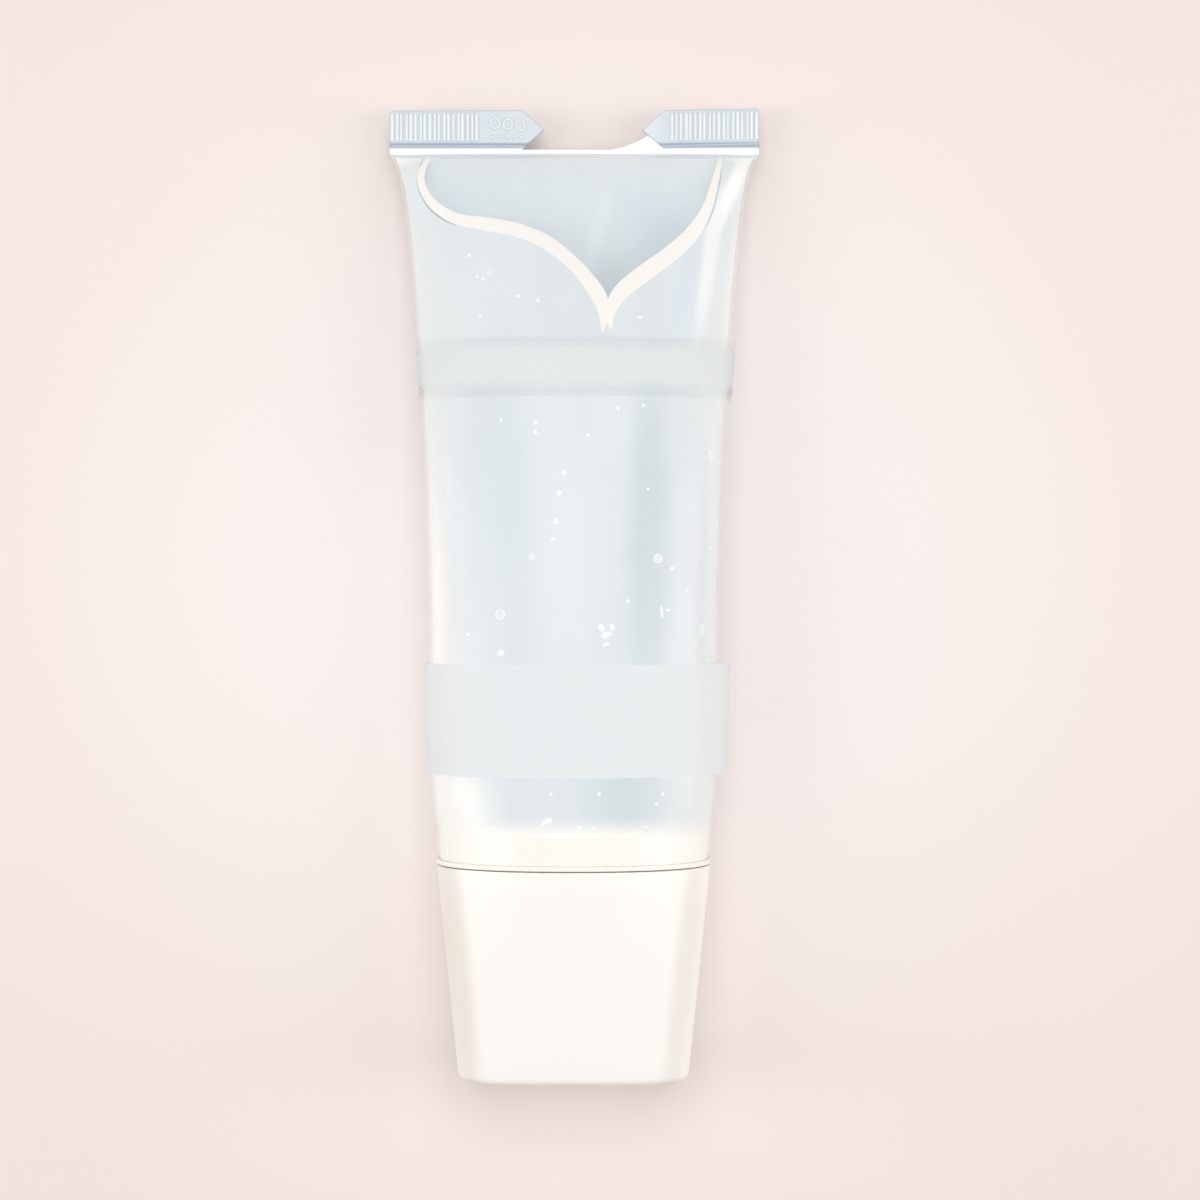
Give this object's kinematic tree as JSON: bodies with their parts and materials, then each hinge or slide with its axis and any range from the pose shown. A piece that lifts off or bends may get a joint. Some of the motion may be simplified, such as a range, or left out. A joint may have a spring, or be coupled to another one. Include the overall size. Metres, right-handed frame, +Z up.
{
  "type": "clear gel tube with a screw cap",
  "caption": "Clear squeezable tube of pale gel, lying on its back, with a notched and ribbed end seal, blank film labels and a tapered white screw cap.",
  "frame": {"origin": "under the middle of the lying tube, on the surface that it lies on", "axes": "+Y from the cap to the end seal along the tube, +X across it, +Z up"},
  "size_m": [0.0628, 0.1624, 0.0323],
  "materials": {
    "clear_film": "clear, glossy, flexible film",
    "head_plastic": "smooth satin white",
    "cap_plastic": "smooth satin warm white",
    "liner_foam": "fine white closed-cell foam",
    "gel": "pale translucent gel with air bubbles",
    "label_film": "blank translucent frosted film"
  },
  "bodies": {
    "tube": {"sleeve": "clear_film", "head": "head_plastic", "gel": "gel", "lower_label": "label_film", "upper_label": "label_film"},
    "liner": {"cap_liner": "liner_foam"},
    "cap": {"cap": "cap_plastic"}
  },
  "joints": [
    {"name": "cap_travel", "type": "slide", "parent": "tube", "child": "liner", "axis": [0, -1, 0], "range_m": [0, 0.0046]},
    {"name": "cap_turn", "type": "hinge", "parent": "liner", "child": "cap", "pos_m": [0, -0.06098, 0.01616], "axis": [0, -1, 0], "range_deg": [0, 540]}
  ],
  "couplings": [
    {"joint": "cap_travel", "follows": "cap_turn", "m_per_rad": 0.00047746}
  ]
}
